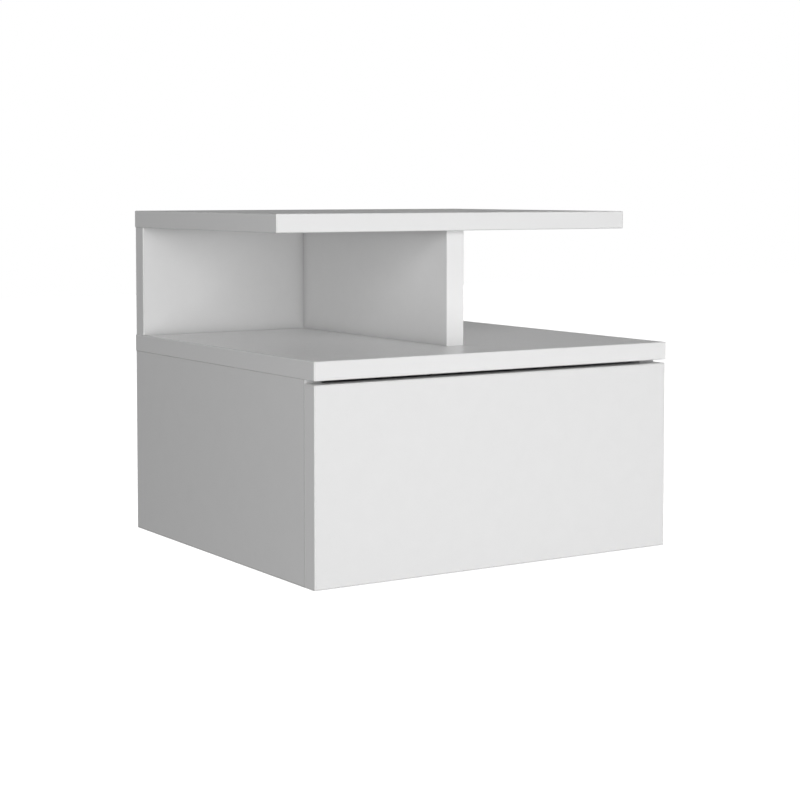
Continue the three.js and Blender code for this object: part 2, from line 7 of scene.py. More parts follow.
import bpy
import numpy as np
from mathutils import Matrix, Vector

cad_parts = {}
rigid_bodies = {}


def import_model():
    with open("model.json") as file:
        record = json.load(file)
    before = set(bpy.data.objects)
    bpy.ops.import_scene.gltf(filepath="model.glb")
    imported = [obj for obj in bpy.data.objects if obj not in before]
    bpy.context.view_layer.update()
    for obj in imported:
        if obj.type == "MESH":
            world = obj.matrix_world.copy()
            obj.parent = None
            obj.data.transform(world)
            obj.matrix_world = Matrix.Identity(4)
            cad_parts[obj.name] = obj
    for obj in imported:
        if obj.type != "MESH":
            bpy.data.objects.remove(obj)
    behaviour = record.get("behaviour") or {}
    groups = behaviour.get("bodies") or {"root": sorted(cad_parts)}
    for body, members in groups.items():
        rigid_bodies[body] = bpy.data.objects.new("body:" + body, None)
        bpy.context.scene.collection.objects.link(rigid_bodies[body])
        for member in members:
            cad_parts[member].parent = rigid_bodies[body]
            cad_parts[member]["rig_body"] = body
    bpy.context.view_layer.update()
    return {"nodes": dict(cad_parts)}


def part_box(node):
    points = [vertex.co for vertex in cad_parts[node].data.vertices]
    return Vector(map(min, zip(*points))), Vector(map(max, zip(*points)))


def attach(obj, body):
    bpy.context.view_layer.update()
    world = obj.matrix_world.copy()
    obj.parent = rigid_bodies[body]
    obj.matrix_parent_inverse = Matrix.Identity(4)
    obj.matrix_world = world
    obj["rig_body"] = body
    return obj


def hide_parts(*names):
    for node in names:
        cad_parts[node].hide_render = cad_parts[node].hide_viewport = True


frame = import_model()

nodes = frame["nodes"]
mm = 0.001
axisOf = {"x": 0, "y": 1, "z": 2}
print("frame loaded,", len(nodes), "nodes")


# Materials

def toLinear(hexColour):  # sRGB hex to linear red, green, blue and alpha
    channels = np.array([int(hexColour[i:i + 2], 16) for i in (1, 3, 5)]) / 255
    linear = np.where(channels <= 0.04045, channels / 12.92, ((channels + 0.055) / 1.055) ** 2.4)
    return (*linear.tolist(), 1.0)


def addNode(tree, kind, inputs=None, **settings):  # a value that is a socket is linked
    node = tree.nodes.new("ShaderNode" + kind)
    for name, value in settings.items():
        setattr(node, name, value)
    for socket, value in (inputs or {}).items():
        if isinstance(value, bpy.types.NodeSocket):
            tree.links.new(value, node.inputs[socket])
        else:
            node.inputs[socket].default_value = value
    return node


def newFinish(name):  # an empty material with its object coordinates and output
    material = bpy.data.materials.new(name)
    material.use_nodes = True
    tree = material.node_tree
    tree.nodes.clear()
    place = addNode(tree, "TexCoord").outputs["Object"]
    output = addNode(tree, "OutputMaterial")
    return material, tree, place, output


def paint(piece, material):
    piece.data.materials.clear()
    piece.data.materials.append(material)


# Melamine-faced chipboard: resin-soaked white paper pressed on a core of wood chips, with a
# 1 mm ABS band glued on the edges that show. The paper is satin with a fine pearl grain, so
# that it mirrors softly when seen edge-on, and it follows the chips under it in a faint
# waviness; the band is smoother, and its glue line shows as a hair-thin grey line. Sawn edges,
# bores and grooves show the chips. Where two boards meet in an inside corner, shade is painted
# into the paper, which is mixed towards grey close to the corner; the side panels' band is
# painted greyer, as painted shade for the gap behind the drawer's front.
board = {
    "paper": ("#eeeeee", "#ebebeb"),
    "paperRoughness": (0.25, 0.33),
    # painted shade: the grey that the paper is mixed towards in inside corners, and how fast it fades
    "corner": "#d3d3d3",
    "paintedShadeReach": 4 * mm,
    "pearlGrain": 0.7 * mm,  # the real grain is about half of this, too fine to show
    "pearlHeight": 0.006 * mm,
    "wave": 14 * mm,
    "waveHeight": 0.012 * mm,
    "paperThickness": 0.25 * mm,
    "band": "#efefef",
    "sidePanelBand": "#dedede",  # a greyer band: painted shade for the shadow in the gap behind the drawer's front, which hides it
    "bandRoughness": 0.25,
    "bandThickness": 1.0 * mm,
    "glueLine": "#c9c6c0",
    "glueLineHalf": 0.05 * mm,
    "chips": ("#7d5c38", "#a9824f", "#c6a273", "#dcc39a"),
    "fineChip": 0.7 * mm,
    "coarseChip": 2.6 * mm,
    "fineLayer": 2.5 * mm,
    "layerChange": (0.8, 1.2),  # shares of the fine layer between which the chips grow coarse
    "chipFlatness": 2.5,
    "chipHeight": 0.15 * mm,
    "chipRoughness": 0.85,
}


def paintedCornerShade(tree, place, neighbours):
    # painted shade in inside corners, exp(-distance / reach), with the distance from the nearest
    # neighbour's box, which is the length of what lies outside the box along each axis
    nearest = None
    for neighbour in neighbours:
        low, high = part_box(neighbour)
        away = place
        for vector, operation in (((low + high) / 2, "SUBTRACT"), ((0, 0, 0), "ABSOLUTE"),
                                  ((high - low) / 2, "SUBTRACT"), ((0, 0, 0), "MAXIMUM")):
            away = addNode(tree, "VectorMath", {0: away, 1: vector}, operation=operation).outputs[0]
        distance = addNode(tree, "VectorMath", {0: away}, operation="LENGTH").outputs["Value"]
        if nearest is not None:
            distance = addNode(tree, "Math", {0: nearest, 1: distance}, operation="MINIMUM").outputs[0]
        nearest = distance
    share = addNode(tree, "Math", {0: nearest, 1: -1 / board["paintedShadeReach"]}, operation="MULTIPLY")
    return addNode(tree, "Math", {0: share.outputs[0]}, operation="EXPONENT").outputs[0]


def boardFinish(node, across, bands, neighbours=(), bandName="band"):
    # across is the axis through the thickness, bands lists the edges with a band, each as a
    # sign and an axis, neighbours are the boards that it meets in a corner that shows, near
    # which shade is painted into the paper, and bandName is the band's colour in the dictionary
    low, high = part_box(node)
    material, tree, place, output = newFinish("melamineBoard_" + node)
    split = addNode(tree, "SeparateXYZ", {"Vector": place})

    # depth under the nearer wide face
    t = axisOf[across]
    middle, half = (low[t] + high[t]) / 2, (high[t] - low[t]) / 2
    off = addNode(tree, "Math", {0: split.outputs[t], 1: middle}, operation="SUBTRACT")
    off = addNode(tree, "Math", {0: off.outputs[0]}, operation="ABSOLUTE")
    depth = addNode(tree, "Math", {0: half, 1: off.outputs[0]}, operation="SUBTRACT").outputs[0]
    skin = addNode(tree, "Math", {0: depth, 1: board["paperThickness"]}, operation="LESS_THAN").outputs[0]

    # distance from each banded edge: within the band, or on its glue line
    inBand = onGlue = None
    for sign, axis in bands:
        a = axisOf[axis]
        terms = {0: high[a], 1: split.outputs[a]} if sign == "+" else {0: split.outputs[a], 1: low[a]}
        gap = addNode(tree, "Math", terms, operation="SUBTRACT").outputs[0]
        band = addNode(tree, "Math", {0: gap, 1: board["bandThickness"]}, operation="LESS_THAN").outputs[0]
        glue = addNode(tree, "Math", {0: gap, 1: board["bandThickness"], 2: board["glueLineHalf"]},
                       operation="COMPARE").outputs[0]
        if inBand is not None:
            band = addNode(tree, "Math", {0: inBand, 1: band}, operation="MAXIMUM").outputs[0]
            glue = addNode(tree, "Math", {0: onGlue, 1: glue}, operation="MAXIMUM").outputs[0]
        inBand, onGlue = band, glue

    # white paper, with the pearl grain and the waviness of the chips under it
    wave = addNode(tree, "TexNoise", {"Vector": place, "Scale": 1 / board["wave"], "Detail": 2.0})
    grain = addNode(tree, "TexNoise", {"Vector": place, "Scale": 1 / board["pearlGrain"], "Detail": 2.0})
    colour = addNode(tree, "Mix", {"Factor": wave.outputs["Fac"], 6: toLinear(board["paper"][0]),
                                   7: toLinear(board["paper"][1])}, data_type="RGBA").outputs[2]
    # painted shade: the paper is mixed towards the corner grey near the boards that it meets
    if neighbours:
        shade = paintedCornerShade(tree, place, neighbours)
        colour = addNode(tree, "Mix", {"Factor": shade, 6: colour, 7: toLinear(board["corner"])},
                         data_type="RGBA").outputs[2]
    smooth, rough = board["paperRoughness"]
    roughness = addNode(tree, "MapRange", {"Value": grain.outputs["Fac"], "To Min": smooth,
                                           "To Max": rough}).outputs[0]
    if inBand is not None:
        colour = addNode(tree, "Mix", {"Factor": inBand, 6: colour, 7: toLinear(board[bandName])},
                         data_type="RGBA").outputs[2]
        colour = addNode(tree, "Mix", {"Factor": onGlue, 6: colour, 7: toLinear(board["glueLine"])},
                         data_type="RGBA").outputs[2]
        roughness = addNode(tree, "Mix", {"Factor": inBand, 2: roughness,
                                          3: board["bandRoughness"]}).outputs[0]
        skin = addNode(tree, "Math", {0: skin, 1: inBand}, operation="MAXIMUM").outputs[0]

    # wood chips: fine near the faces, coarse in the core, and lying flat in the board
    flat = [1.0, 1.0, 1.0]
    flat[t] = board["chipFlatness"]
    lying = addNode(tree, "Mapping", {"Vector": place, "Scale": flat}).outputs[0]
    fine = addNode(tree, "TexVoronoi", {"Vector": lying, "Scale": 1 / board["fineChip"]})
    coarse = addNode(tree, "TexVoronoi", {"Vector": lying, "Scale": 1 / board["coarseChip"]})
    start, end = (share * board["fineLayer"] for share in board["layerChange"])
    inCore = addNode(tree, "MapRange", {"Value": depth, "From Min": start, "From Max": end}).outputs[0]
    chip = addNode(tree, "Mix", {"Factor": inCore, 6: fine.outputs["Color"], 7: coarse.outputs["Color"]},
                   data_type="RGBA").outputs[2]
    shade = addNode(tree, "SeparateColor", {"Color": chip}).outputs[0]
    ramp = addNode(tree, "ValToRGB", {"Fac": shade})
    stops = ramp.color_ramp.elements
    for i, hexColour in enumerate(board["chips"]):
        share = i / (len(board["chips"]) - 1)
        stop = stops[0] if i == 0 else stops[-1] if share == 1 else stops.new(share)
        stop.position, stop.color = share, toLinear(hexColour)
    chipRelief = addNode(tree, "Mix", {"Factor": inCore, 2: fine.outputs["Distance"],
                                       3: coarse.outputs["Distance"]}).outputs[0]

    colour = addNode(tree, "Mix", {"Factor": skin, 6: ramp.outputs["Color"], 7: colour},
                     data_type="RGBA").outputs[2]
    roughness = addNode(tree, "Mix", {"Factor": skin, 2: board["chipRoughness"], 3: roughness}).outputs[0]
    bare = addNode(tree, "Math", {0: 1.0, 1: skin}, operation="SUBTRACT").outputs[0]
    bump = addNode(tree, "Bump", {"Height": wave.outputs["Fac"], "Distance": board["waveHeight"],
                                  "Strength": 1.0})
    bump = addNode(tree, "Bump", {"Height": grain.outputs["Fac"], "Distance": board["pearlHeight"],
                                  "Normal": bump.outputs[0]})
    bump = addNode(tree, "Bump", {"Height": chipRelief, "Distance": board["chipHeight"],
                                  "Strength": bare, "Normal": bump.outputs[0]})
    shader = addNode(tree, "BsdfPrincipled", {"Base Color": colour, "Roughness": roughness, "IOR": 1.5,
                                              "Normal": bump.outputs[0]})
    tree.links.new(shader.outputs[0], output.inputs[0])
    paint(nodes[node], material)


# each board: the axis through its thickness, its banded edges, the boards near which shade is painted into
# its paper, and its band colour
boardEdges = {
    "top_shelf": ("z", ("-y", "-x", "+x"), ("upper_back_panel", "shelf_divider")),
    "cabinet_top": ("z", ("-y", "-x", "+x"), ("upper_back_panel", "shelf_divider")),
    "upper_back_panel": ("y", ("-x",), ("top_shelf", "cabinet_top", "shelf_divider")),
    "shelf_divider": ("x", ("-y",), ("top_shelf", "cabinet_top", "upper_back_panel")),
    # the side panels' greyer band is painted shade for the gap behind the drawer's front
    "left_side_panel": ("x", ("-y", "-z"), (), "sidePanelBand"),
    "right_side_panel": ("x", ("-y", "-z"), (), "sidePanelBand"),
    "bottom_panel": ("z", ("-y",)),
    "wall_rail": ("y", ()),
    "drawer_front": ("y", ("-x", "+x", "-z", "+z")),
    "drawer_left_side": ("x", ("+z",)),
    "drawer_right_side": ("x", ("+z",)),
    "drawer_back": ("y", ("+z",)),
}
for node, edges in boardEdges.items():
    boardFinish(node, *edges)
print("boards finished,", len(boardEdges))


# Hardboard: wood fibre pressed hot against a wire screen. One face is lacquered white and
# smooth; the other is brown, fuzzy, and carries the print of the screen.
hardboard = {
    "lacquer": ("#e6e5e1", "#e1e0dc"),
    "lacquerRoughness": 0.5,
    "lacquerThickness": 0.2 * mm,
    "fibre": ("#6f4e30", "#8f6b46"),
    "fibreLength": 3 * mm,
    "fibreHeight": 0.02 * mm,
    "fibreRoughness": 0.8,
    "screenPitch": 1.6 * mm,
    "screenDepth": 0.12 * mm,
}


def hardboardFinish(node, whiteFace):  # whiteFace is the sign and axis of the lacquered face
    low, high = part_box(node)
    sign, axis = whiteFace
    a = axisOf[axis]
    material, tree, place, output = newFinish("hardboard_" + node)
    split = addNode(tree, "SeparateXYZ", {"Vector": place})
    terms = {0: high[a], 1: split.outputs[a]} if sign == "+" else {0: split.outputs[a], 1: low[a]}
    gap = addNode(tree, "Math", terms, operation="SUBTRACT").outputs[0]
    white = addNode(tree, "Math", {0: gap, 1: hardboard["lacquerThickness"]},
                    operation="LESS_THAN").outputs[0]
    fibres = addNode(tree, "TexNoise", {"Vector": place, "Scale": 1 / hardboard["fibreLength"],
                                        "Detail": 8.0, "Roughness": 0.7, "Distortion": 1.5})
    brown = addNode(tree, "Mix", {"Factor": fibres.outputs["Fac"], 6: toLinear(hardboard["fibre"][0]),
                                  7: toLinear(hardboard["fibre"][1])}, data_type="RGBA").outputs[2]
    lacquer = addNode(tree, "Mix", {"Factor": fibres.outputs["Fac"], 6: toLinear(hardboard["lacquer"][0]),
                                    7: toLinear(hardboard["lacquer"][1])}, data_type="RGBA").outputs[2]
    colour = addNode(tree, "Mix", {"Factor": white, 6: brown, 7: lacquer}, data_type="RGBA").outputs[2]
    roughness = addNode(tree, "Mix", {"Factor": white, 2: hardboard["fibreRoughness"],
                                      3: hardboard["lacquerRoughness"]}).outputs[0]

    # the screen's wires cross at right angles: a product of two waves on the brown face
    turns = 2 * pi / hardboard["screenPitch"]
    waves = []
    for i in range(3):
        if i != a:
            phase = addNode(tree, "Math", {0: split.outputs[i], 1: turns}, operation="MULTIPLY")
            waves.append(addNode(tree, "Math", {0: phase.outputs[0]}, operation="SINE").outputs[0])
    screen = addNode(tree, "Math", {0: waves[0], 1: waves[1]}, operation="MULTIPLY").outputs[0]
    bare = addNode(tree, "Math", {0: 1.0, 1: white}, operation="SUBTRACT").outputs[0]
    bump = addNode(tree, "Bump", {"Height": screen, "Distance": hardboard["screenDepth"], "Strength": bare})
    bump = addNode(tree, "Bump", {"Height": fibres.outputs["Fac"], "Distance": hardboard["fibreHeight"],
                                  "Normal": bump.outputs[0]})
    shader = addNode(tree, "BsdfPrincipled", {"Base Color": colour, "Roughness": roughness, "IOR": 1.5,
                                              "Normal": bump.outputs[0]})
    tree.links.new(shader.outputs[0], output.inputs[0])
    paint(nodes[node], material)


hardboardFinish("cabinet_back", "-y")
hardboardFinish("drawer_bottom", "+z")
print("hardboard finished")


# Epoxy-coated sheet steel: warm white powder that melted to a skin with a soft orange peel,
# and a faint grey track, polished by the rollers, on the flanges that they run on.
coating = {
    "white": ("#e3e3de", "#dddcd6"),
    "track": "#c4c3be",
    "trackReach": (148.6 * mm, 153.8 * mm),  # distances from the cabinet's middle plane
    "level": 0.9,  # a face counts as level where the height of its normal is over this
    "streak": 0.6 * mm,
    "streakStretch": 0.02,  # along the runner
    "peel": 1.8 * mm,
    "peelHeight": 0.03 * mm,
    "roughness": (0.28, 0.38),
}
coated, tree, place, output = newFinish("epoxyCoatedSteel")
split = addNode(tree, "SeparateXYZ", {"Vector": place})
facing = addNode(tree, "SeparateXYZ", {"Vector": addNode(tree, "TexCoord").outputs["Normal"]})
level = addNode(tree, "Math", {0: facing.outputs[2]}, operation="ABSOLUTE").outputs[0]
level = addNode(tree, "Math", {0: level, 1: coating["level"]}, operation="GREATER_THAN").outputs[0]
reach = addNode(tree, "Math", {0: split.outputs[0]}, operation="ABSOLUTE").outputs[0]
near, far = coating["trackReach"]
track = addNode(tree, "Math", {0: reach, 1: (near + far) / 2, 2: (far - near) / 2},
                operation="COMPARE").outputs[0]
drawn = addNode(tree, "Mapping", {"Vector": place, "Scale": (1, coating["streakStretch"], 1)}).outputs[0]
streaks = addNode(tree, "TexNoise", {"Vector": drawn, "Scale": 1 / coating["streak"], "Detail": 3.0})
track = addNode(tree, "Math", {0: track, 1: streaks.outputs["Fac"]}, operation="MULTIPLY").outputs[0]
track = addNode(tree, "Math", {0: track, 1: level}, operation="MULTIPLY").outputs[0]
peel = addNode(tree, "TexNoise", {"Vector": place, "Scale": 1 / coating["peel"], "Detail": 1.0})
peel = peel.outputs["Fac"]
colour = addNode(tree, "Mix", {"Factor": peel, 6: toLinear(coating["white"][0]),
                               7: toLinear(coating["white"][1])}, data_type="RGBA").outputs[2]
colour = addNode(tree, "Mix", {"Factor": track, 6: colour, 7: toLinear(coating["track"])},
                 data_type="RGBA").outputs[2]
roughness = addNode(tree, "MapRange", {"Value": peel, "To Min": coating["roughness"][0],
                                       "To Max": coating["roughness"][1]}).outputs[0]
bump = addNode(tree, "Bump", {"Height": peel, "Distance": coating["peelHeight"]})
shader = addNode(tree, "BsdfPrincipled", {"Base Color": colour, "Roughness": roughness, "IOR": 1.5,
                                          "Normal": bump.outputs[0]})
tree.links.new(shader.outputs[0], output.inputs[0])
for node in ("cabinet_runner_left", "cabinet_runner_right", "drawer_runner_left", "drawer_runner_right"):
    paint(nodes[node], coated)


# Moulded nylon: off-white and slightly waxy, with soft rings from the mould round the
# roller's own axis.
nylon = {
    "colour": ("#dad9d3", "#d2d0c9"),
    "roughness": (0.34, 0.5),
    "cloud": 4 * mm,
    "ring": 0.9 * pi * mm,  # from crest to crest
    "ringHeight": 0.02 * mm,
}
wavePhase = 20  # a wave texture's phase is this times its scale and the distance


def nylonFinish(name, rollers):
    low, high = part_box(rollers[0])
    material, tree, place, output = newFinish("mouldedNylon_" + name)
    offset = (0, -(low.y + high.y) / 2, -(low.z + high.z) / 2)
    centred = addNode(tree, "Mapping", {"Vector": place, "Location": offset}).outputs[0]
    ringScale = 2 * pi / nylon["ring"] / wavePhase
    rings = addNode(tree, "TexWave", {"Vector": centred, "Scale": ringScale, "Distortion": 0.3},
                    wave_type="RINGS", rings_direction="X").outputs["Fac"]
    cloud = addNode(tree, "TexNoise", {"Vector": place, "Scale": 1 / nylon["cloud"], "Detail": 3.0})
    cloud = cloud.outputs["Fac"]
    colour = addNode(tree, "Mix", {"Factor": cloud, 6: toLinear(nylon["colour"][0]),
                                   7: toLinear(nylon["colour"][1])}, data_type="RGBA").outputs[2]
    roughness = addNode(tree, "MapRange", {"Value": cloud, "To Min": nylon["roughness"][0],
                                           "To Max": nylon["roughness"][1]}).outputs[0]
    bump = addNode(tree, "Bump", {"Height": rings, "Distance": nylon["ringHeight"]})
    shader = addNode(tree, "BsdfPrincipled", {"Base Color": colour, "Roughness": roughness, "IOR": 1.53,
                                              "Normal": bump.outputs[0]})
    tree.links.new(shader.outputs[0], output.inputs[0])
    for roller in rollers:
        paint(nodes[roller], material)


nylonFinish("front", ("cabinet_roller_left", "cabinet_roller_right"))
nylonFinish("rear", ("drawer_roller_left", "drawer_roller_right"))

# Die-cast zinc: dull grey, slightly grained by the die. Bright zinc plating: a cool, thin
# blue-white plate with a fine grain.
metals = {
    "dieCastZinc": {"colours": ("#a3a6a8", "#8e9194"), "roughness": (0.38, 0.58), "grain": 0.5 * mm,
                    "height": 0.02 * mm},
    "brightZincPlating": {"colours": ("#c3c8cc", "#b2b8bf"), "roughness": (0.2, 0.36), "grain": 0.3 * mm,
                          "height": 0.008 * mm},
}
metalFinish = {}
for name, metal in metals.items():
    material, tree, place, output = newFinish(name)
    grain = addNode(tree, "TexNoise", {"Vector": place, "Scale": 1 / metal["grain"], "Detail": 4.0})
    grain = grain.outputs["Fac"]
    colour = addNode(tree, "Mix", {"Factor": grain, 6: toLinear(metal["colours"][0]),
                                   7: toLinear(metal["colours"][1])}, data_type="RGBA").outputs[2]
    roughness = addNode(tree, "MapRange", {"Value": grain, "To Min": metal["roughness"][0],
                                           "To Max": metal["roughness"][1]}).outputs[0]
    bump = addNode(tree, "Bump", {"Height": grain, "Distance": metal["height"]})
    shader = addNode(tree, "BsdfPrincipled", {"Base Color": colour, "Roughness": roughness, "Metallic": 1.0,
                                              "Normal": bump.outputs[0]})
    tree.links.new(shader.outputs[0], output.inputs[0])
    metalFinish[name] = material
zinc, plated = metalFinish["dieCastZinc"], metalFinish["brightZincPlating"]
moulded = {end: nodes[end + "_roller_left"].data.materials[0] for end in ("cabinet", "drawer")}
print("fittings' finishes ready")


# Shapes. Each is a grid of points worked out as whole arrays, in millimetres: grid[i, j] has
# i along the profile or path and j round it. A solid is its points and blocks of face corners.

def quadsOf(rows, columns, closed):  # the faces between the rows of a grid whose columns wrap round
    i = np.arange(rows if closed else rows - 1)[:, None]
    j, after = np.arange(columns), (np.arange(columns) + 1) % columns
    near, far = i * columns, (i + 1) % rows * columns
    return np.stack([near + j, near + after, far + after, far + j], -1).reshape(-1, 4)


def turnedSolid(grid):  # its first and last rows each meet in one point on the axis
    rows, columns = grid.shape[:2]
    j, after = np.arange(columns), (np.arange(columns) + 1) % columns
    points = np.vstack([grid[1:-1].reshape(-1, 3), grid[0, :1], grid[-1, :1]])
    first, end = (rows - 2) * columns, (rows - 3) * columns
    fans = np.vstack([np.stack([first + 0 * j, after, j], -1),
                      np.stack([first + 1 + 0 * j, end + j, end + after], -1)])
    return points, [quadsOf(rows - 2, columns, False), fans]


def ringSolid(grid):  # a turned grid whose section is a closed loop
    return grid.reshape(-1, 3), [quadsOf(*grid.shape[:2], True)]


def sweptSolid(grid):  # a section carried along a path, with flat ends
    rows, columns = grid.shape[:2]
    j = np.arange(columns)[None]
    return grid.reshape(-1, 3), [quadsOf(rows, columns, False), j[:, ::-1], j + (rows - 1) * columns]


def turned(radii, heights, angles):  # x and y are the radius times the angle's cosine and sine
    radii, heights = np.broadcast_arrays(radii, heights + 0 * angles)
    return np.stack([radii * np.cos(angles), radii * np.sin(angles), heights], -1)


def placed(solid, seat, along, across):  # turns a shape's z axis to one direction, x to another
    points, blocks = solid
    axes = np.array([across, np.cross(along, across), along], float)
    return points @ axes + np.array(seat), blocks


def profile(pairs):  # columns of radius and height, from a list of pairs
    pairs = np.array(pairs, float)
    return pairs[:, :1], pairs[:, 1:]


def turnedParts(parts, angles):  # a solid from radii and heights, one part after another
    radii, heights = (np.vstack([part[i] + 0 * angles for part in parts]) for i in (0, 1))
    return turnedSolid(turned(radii, heights, angles))


def evenAngles(columns):
    return np.arange(columns) * 2 * pi / columns


def crossAngles(recess, columns):  # even angles, with the corners of the recess among them
    corner = np.arctan2(recess["half"], recess["reach"])
    corners = np.array([corner, pi / 4, pi / 2 - corner]) + evenAngles(4)[:, None]
    return np.unique(np.round(np.append(evenAngles(columns), corners), 6))


def crossEdge(angles, reach, half):
    # two crossed bars seen from their middle: in each direction the farther of two boxes,
    # where a box ends at its reach over the cosine or its half width over the sine, both of
    # which are kept off zero
    c, s = (np.maximum(np.abs(part), 1e-9) for part in (np.cos(angles), np.sin(angles)))
    return np.maximum(np.minimum(reach / c, half / s), np.minimum(reach / s, half / c))


crownShares = [0, 0.04, 0.3, 0.6, 0.85, 1]  # rows from the recess's mouth to the rounded rim
rimTurns = [30, 60, 90]  # rows round the rim, in degrees
threadSteps = 12  # rows in a turn of a thread
screwPoint = 0.2  # the last of a screw, past its thread
creaseAngle = 32  # degrees; an edge that turns by more is shown sharp


def headRows(head, angles):
    # from the middle of a cross recess out to the rim: floor, mouth, and a crown that
    # drops with the square of the radius; the rim is a quarter circle
    recess = head["recess"]
    floor = crossEdge(angles, recess["reach"] * recess["taper"], recess["half"] * recess["taper"])
    mouth = crossEdge(angles, recess["reach"], recess["half"])
    flat = head["radius"] - head["round"]
    radii = mouth + (flat - mouth) * np.array(crownShares)[:, None]
    turn = np.array(rimTurns)[:, None] * pi / 180
    rim = flat + head["round"] * np.sin(turn) + 0 * angles
    crown = head["drop"] * (radii / flat) ** 2
    rimHeights = head["drop"] + head["round"] * (1 - np.cos(turn)) + 0 * angles
    return (np.vstack([0 * floor, floor, radii, rim]),
            np.vstack([0 * floor + recess["depth"], 0 * floor + recess["depth"], crown, rimHeights]))


def threadRows(thread, start, end, angles):
    # core radius plus a ridge of triangular section that climbs one pitch a turn; the ridge
    # grows over its first turn and fades over its last, and the core narrows to the tip
    heights = np.arange(start, end, thread["pitch"] / threadSteps)[:, None] + 0 * angles
    turn = (heights / thread["pitch"] - angles / (2 * pi)) % 1
    ridge = np.clip(1 - np.abs(turn - 0.5) / (thread["ridge"] / 2), 0, 1)
    fade = np.clip(np.minimum(heights - start, end - heights) / thread["pitch"], 0, 1)
    core = thread["core"] * np.clip((end - heights) / thread["tip"] + thread["blunt"], 0, 1)
    return core + thread["depth"] * ridge * fade, heights


def screwSolid(screw, length, columns=36):
    # head, plain neck and thread, down to a blunt tip
    angles = crossAngles(screw["head"]["recess"], columns)
    thread = threadRows(screw["thread"], screw["neck"][-1][1], length - screwPoint, angles)
    return turnedParts([headRows(screw["head"], angles), profile(screw["neck"]), thread,
                        profile([(0, length)])], angles)


def addPiece(name, solids, finish, body, replaced=()):
    # one mesh from the solids, which rides on its body and may stand in for nodes
    corners, start = [], 0
    for points, blocks in solids:
        for block in blocks:
            corners += (block + start).tolist()
        start += len(points)
    points = np.vstack([points for points, blocks in solids]) * mm
    mesh = bpy.data.meshes.new(name)
    mesh.from_pydata(points.tolist(), [], corners)
    mesh.polygons.foreach_set("use_smooth", np.ones(len(corners), bool))
    mesh.set_sharp_from_angle(angle=radians(creaseAngle))
    piece = bpy.data.objects.new(name, mesh)
    bpy.context.scene.collection.objects.link(piece)
    paint(piece, finish)
    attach(piece, body)
    if replaced:
        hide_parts(*replaced)
    return piece


def seatOf(node, along):  # middle of the node's face that a direction starts from, and its length
    low, high = (np.array(corner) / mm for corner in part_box(node))
    along = np.array(along, float)
    return (low + high) / 2 - along * (high - low) / 2, abs((high - low) @ along)


up, down, front, back = (0, 0, 1), (0, 0, -1), (0, -1, 0), (0, 1, 0)
outward = {"left": (-1, 0, 0), "right": (1, 0, 0)}
inward = {"left": (1, 0, 0), "right": (-1, 0, 0)}


def camDirections(node, side):  # from a cam's face into its board, and from the cam to its bolt's thread
    if node.startswith("side_cam"):
        return outward[side], up
    if node.startswith("bottom_cam"):
        return down, outward[side]
    if node.startswith("rail_cam"):
        return back, outward[side]
    if node.startswith("divider_cam"):
        return outward["left"], up
    if node.startswith("back_panel_cam"):
        return front, up
    return inward[side], front


# Cabinet screw: flat head with a cross, plain neck, coarse thread
cabinetScrew = {
    "head": {"radius": 5.0, "round": 0.3, "drop": 0.2,
             "recess": {"reach": 2.75, "half": 0.6, "taper": 0.6, "depth": 1.6}},
    "neck": [(5.0, 1.4), (3.2, 2.5), (3.2, 19.4), (2.2, 19.9)],
    "thread": {"core": 2.0, "depth": 0.7, "pitch": 2.4, "ridge": 0.5, "tip": 3.0, "blunt": 0.35},
}
# Runner screw: thin flat head, coarse thread up to the head
runnerScrew = {
    "head": {"radius": 4.0, "round": 0.25, "drop": 0.12,
             "recess": {"reach": 2.2, "half": 0.48, "taper": 0.6, "depth": 0.6}},
    "neck": [(4.0, 0.75), (3.6, 1.0), (2.1, 1.0), (2.1, 1.4)],
    "thread": {"core": 2.1, "depth": 0.6, "pitch": 1.9, "ridge": 0.5, "tip": 2.4, "blunt": 0.4},
}
# Pan-head chipboard screw, which the solids leave out: it holds the drawer's runners and back
panScrew = {
    "head": {"radius": 3.4, "round": 0.8, "drop": 0.45,
             "recess": {"reach": 1.9, "half": 0.42, "taper": 0.55, "depth": 0.95}},
    "neck": [(3.4, 1.35), (3.3, 1.45), (1.4, 1.45), (1.4, 1.9)],
    "thread": {"core": 1.25, "depth": 0.5, "pitch": 1.6, "ridge": 0.4, "tip": 3.0, "blunt": 0.1},
    "height": 1.45,
    "length": 13.0,
    "backLength": 36.0,
    "sheet": 1.25,
    "runner": [(-290.0, -101.5), (-185.0, -101.5), (-85.0, -101.5)],
    "back": [(-56.5, -72.0), (-56.5, -28.0)],
}

# Cam bolt: thread, collar, plain neck, and a rounded head that the cam draws on
camBolt = {
    "start": [(0, 0), (1.5, 0), (2.0, 0.5)],
    "thread": {"core": 2.0, "depth": 0.75, "pitch": 2.0, "ridge": 0.5, "tip": 1.0, "blunt": 1.0},
    "threadLength": 10.5,
    "collar": [(2.0, 10.45), (3.1, 10.5), (3.4, 10.75), (3.4, 11.3), (3.2, 11.5), (2.2, 11.5),
               (2.2, 27.0), (1.7, 28.0), (1.7, 31.2)],
    "head": {"radius": 3.2, "middle": 34.4, "from": -1.0, "to": 1.25, "steps": 12},  # radians
}


def camBoltSolid(bolt, columns=32):
    # the head is a ball that is cut off where the neck enters and at its crown: radius cos t
    # from the axis, and its middle's height plus radius sin t
    angles = evenAngles(columns)
    ball = bolt["head"]
    tilt = np.linspace(ball["from"], ball["to"], ball["steps"])[:, None]
    out, height = ball["radius"] * np.cos(tilt), ball["middle"] + ball["radius"] * np.sin(tilt)
    thread = threadRows(bolt["thread"], bolt["start"][-1][1], bolt["threadLength"], angles)
    return turnedParts([profile(bolt["start"]), thread, profile(bolt["collar"]), (out, height),
                        profile([(0, height[-1, 0])])], angles)


